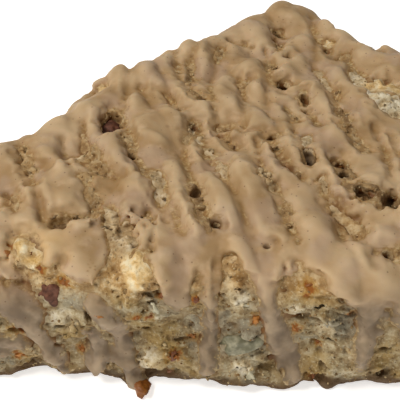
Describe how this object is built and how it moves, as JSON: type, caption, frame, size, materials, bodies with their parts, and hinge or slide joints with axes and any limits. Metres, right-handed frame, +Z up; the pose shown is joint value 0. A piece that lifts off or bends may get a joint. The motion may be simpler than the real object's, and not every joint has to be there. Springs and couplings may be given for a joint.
{
  "type": "carrot cake scone",
  "caption": "Wedge-shaped baked scone with a craggy crumb, thick spiced icing drizzled across its top and drips down its sides.",
  "frame": {"origin": "middle of the flat underside, at the centre of the scone's plan box", "axes": "+Z up; the long cut side with the drips faces -Y; the wedge's tip points to -X and its rounded outer side to +X"},
  "size_m": [0.1267, 0.0942, 0.0336],
  "materials": {
    "iced_dough": "tan set icing over an open baked crumb",
    "icing": "tan set icing with fine spice specks and a soft sheen",
    "crumb": "matt torn crumb, golden where it is browned",
    "carrot": "baked carrot shreds",
    "raisin": "wrinkled dark dried fruit",
    "nut": "pale broken nut"
  },
  "bodies": {
    "root": {"scone": "iced_dough"}
  },
  "joints": []
}
